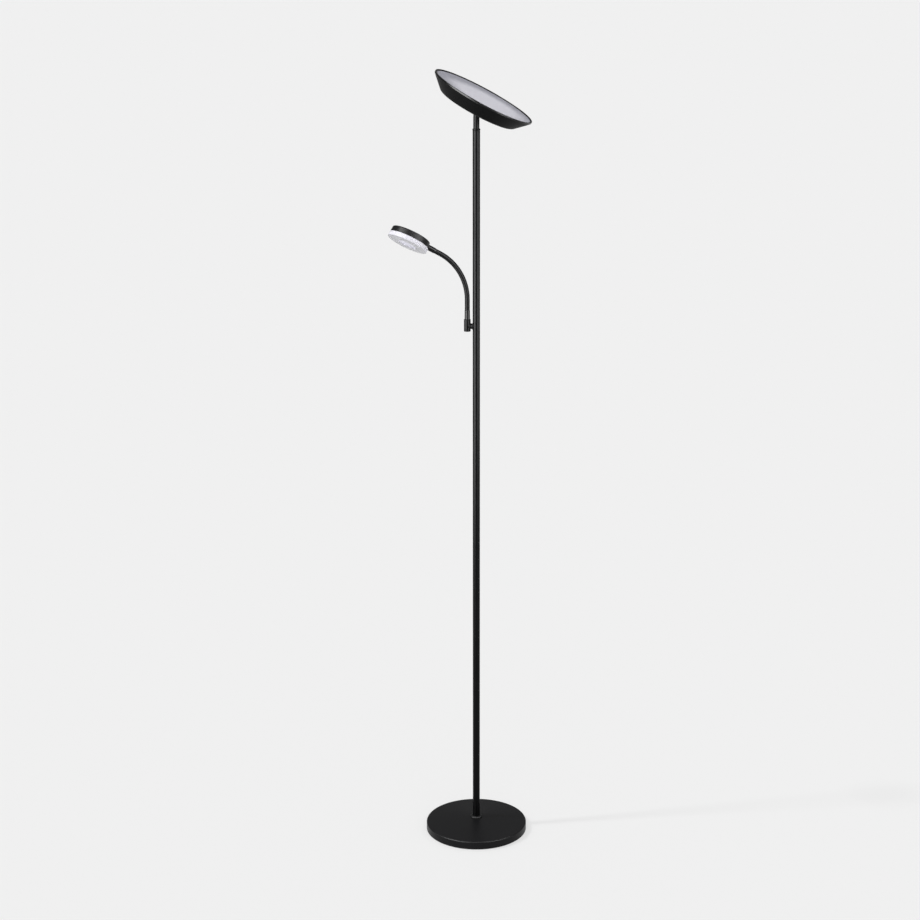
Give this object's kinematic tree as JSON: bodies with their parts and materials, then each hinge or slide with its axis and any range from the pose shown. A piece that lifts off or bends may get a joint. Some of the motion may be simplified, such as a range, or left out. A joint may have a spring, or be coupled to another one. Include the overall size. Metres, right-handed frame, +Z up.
{
  "type": "floor lamp",
  "caption": "Tall black floor lamp: round weighted base, slim pole, shallow tilting uplighter bowl with an opal disc, and a small round reading light on a flexible side arm.",
  "frame": {"origin": "centre of the base's underside, on the floor and on the pole's axis", "axes": "+Z up the pole, +X towards the side the bowl is tilted to, -X towards the reading arm's socket, +Y towards the cord grommet at the back"},
  "size_m": [0.2973, 0.2316, 1.7228],
  "materials": {
    "black_powder_coat": "satin",
    "black_plastic": "satin",
    "cast_iron_weight": "rough",
    "foam_pad": "matte",
    "zinc_plated_steel": "satin",
    "grommet_rubber": "matte",
    "cable_jacket": "satin",
    "friction_nylon": "satin",
    "opal_acrylic": "satin",
    "clear_acrylic": "gloss",
    "aluminium_sheet": "satin",
    "white_circuit_board": "satin",
    "light_chip": "gloss",
    "driver_case": "satin",
    "terminal_nylon": "satin"
  },
  "bodies": {
    "stand": {"base_cover": "black_powder_coat", "base_weight": "cast_iron_weight", "base_pad": "foam_pad", "base_stud": "zinc_plated_steel", "stud_washer": "zinc_plated_steel", "stud_nut": "zinc_plated_steel", "foot_collar": "black_powder_coat", "cord_grommet": "grommet_rubber", "pole_lower": "black_powder_coat", "pole_middle": "black_powder_coat", "pole_upper": "black_powder_coat", "pole_inserts": "zinc_plated_steel", "pole_nipples": "zinc_plated_steel", "arm_anchor": "zinc_plated_steel", "feed_cable": "cable_jacket", "pole_cap": "black_powder_coat", "hinge_neck": "black_powder_coat", "arm_stub": "black_powder_coat", "stub_screw": "zinc_plated_steel", "arm_socket": "black_powder_coat", "socket_cap": "black_powder_coat"},
    "uplighter": {"bowl_shell": "black_powder_coat", "trim_ring": "black_powder_coat", "bowl_diffuser": "opal_acrylic", "led_plate": "aluminium_sheet", "plate_standoffs": "zinc_plated_steel", "plate_screws": "zinc_plated_steel", "led_board": "white_circuit_board", "led_chips": "light_chip", "driver_box": "driver_case", "driver_screws": "zinc_plated_steel", "terminal_block": "terminal_nylon", "hinge_bracket": "zinc_plated_steel", "bracket_rivets": "zinc_plated_steel", "hinge_bolt": "zinc_plated_steel", "hinge_nut": "zinc_plated_steel", "friction_washers": "friction_nylon"},
    "arm_root": {"arm_ferrule": "black_powder_coat", "swivel_washer": "zinc_plated_steel", "swivel_nut": "zinc_plated_steel", "gooseneck_1": "black_powder_coat"},
    "arm_link_2": {"gooseneck_2": "black_powder_coat"},
    "arm_link_3": {"gooseneck_3": "black_powder_coat"},
    "arm_link_4": {"gooseneck_4": "black_powder_coat"},
    "arm_link_5": {"gooseneck_5": "black_powder_coat"},
    "arm_link_6": {"gooseneck_6": "black_powder_coat"},
    "reading_light": {"head_ferrule": "black_powder_coat", "ferrule_nut": "zinc_plated_steel", "reading_cap": "black_plastic", "reading_diffuser": "opal_acrylic", "reading_lens": "clear_acrylic", "reading_plate": "aluminium_sheet", "reading_board": "white_circuit_board", "reading_chips": "light_chip", "reading_screws": "zinc_plated_steel"}
  },
  "joints": [
    {"name": "head_tilt", "type": "hinge", "parent": "stand", "child": "uplighter", "pos_m": [0, 0, 1.6382], "axis": [0, 1, 0], "range_deg": [-73.35, 16.65]},
    {"name": "arm_swivel", "type": "hinge", "parent": "stand", "child": "arm_root", "pos_m": [-0.02, 0, 1.1941], "axis": [0, 0, 1], "range_deg": [-121, 73]},
    {"name": "arm_bend_low", "type": "hinge", "parent": "arm_root", "child": "arm_link_2", "pos_m": [-0.02004, -0.00002, 1.24089], "axis": [0.4067, -0.9135, 0], "range_deg": [-8, 25]},
    {"name": "arm_sway_low", "type": "hinge", "parent": "arm_link_2", "child": "arm_link_3", "pos_m": [-0.02349, -0.00155, 1.26686], "axis": [0.8833, 0.3933, 0.2551], "range_deg": [-9, 9]},
    {"name": "arm_bend_mid", "type": "hinge", "parent": "arm_link_3", "child": "arm_link_4", "pos_m": [-0.03219, -0.00543, 1.29131], "axis": [0.4067, -0.9135, 0], "range_deg": [-8, 25]},
    {"name": "arm_sway_mid", "type": "hinge", "parent": "arm_link_4", "child": "arm_link_5", "pos_m": [-0.04572, -0.01145, 1.31297], "axis": [0.6909, 0.3076, 0.6543], "range_deg": [-18, 18]},
    {"name": "arm_bend_high", "type": "hinge", "parent": "arm_link_5", "child": "arm_link_6", "pos_m": [-0.06336, -0.01931, 1.33073], "axis": [0.4067, -0.9135, 0], "range_deg": [-8, 25]},
    {"name": "arm_sway_high", "type": "hinge", "parent": "arm_link_6", "child": "reading_light", "pos_m": [-0.08395, -0.02848, 1.34422], "axis": [0.4415, 0.1966, 0.8755], "range_deg": [-18, 18]}
  ],
  "couplings": [
    {"joint": "arm_bend_mid", "follows": "arm_bend_low", "ratio": 1},
    {"joint": "arm_bend_high", "follows": "arm_bend_low", "ratio": 1},
    {"joint": "arm_sway_mid", "follows": "arm_sway_low", "ratio": 2},
    {"joint": "arm_sway_high", "follows": "arm_sway_low", "ratio": 2}
  ]
}
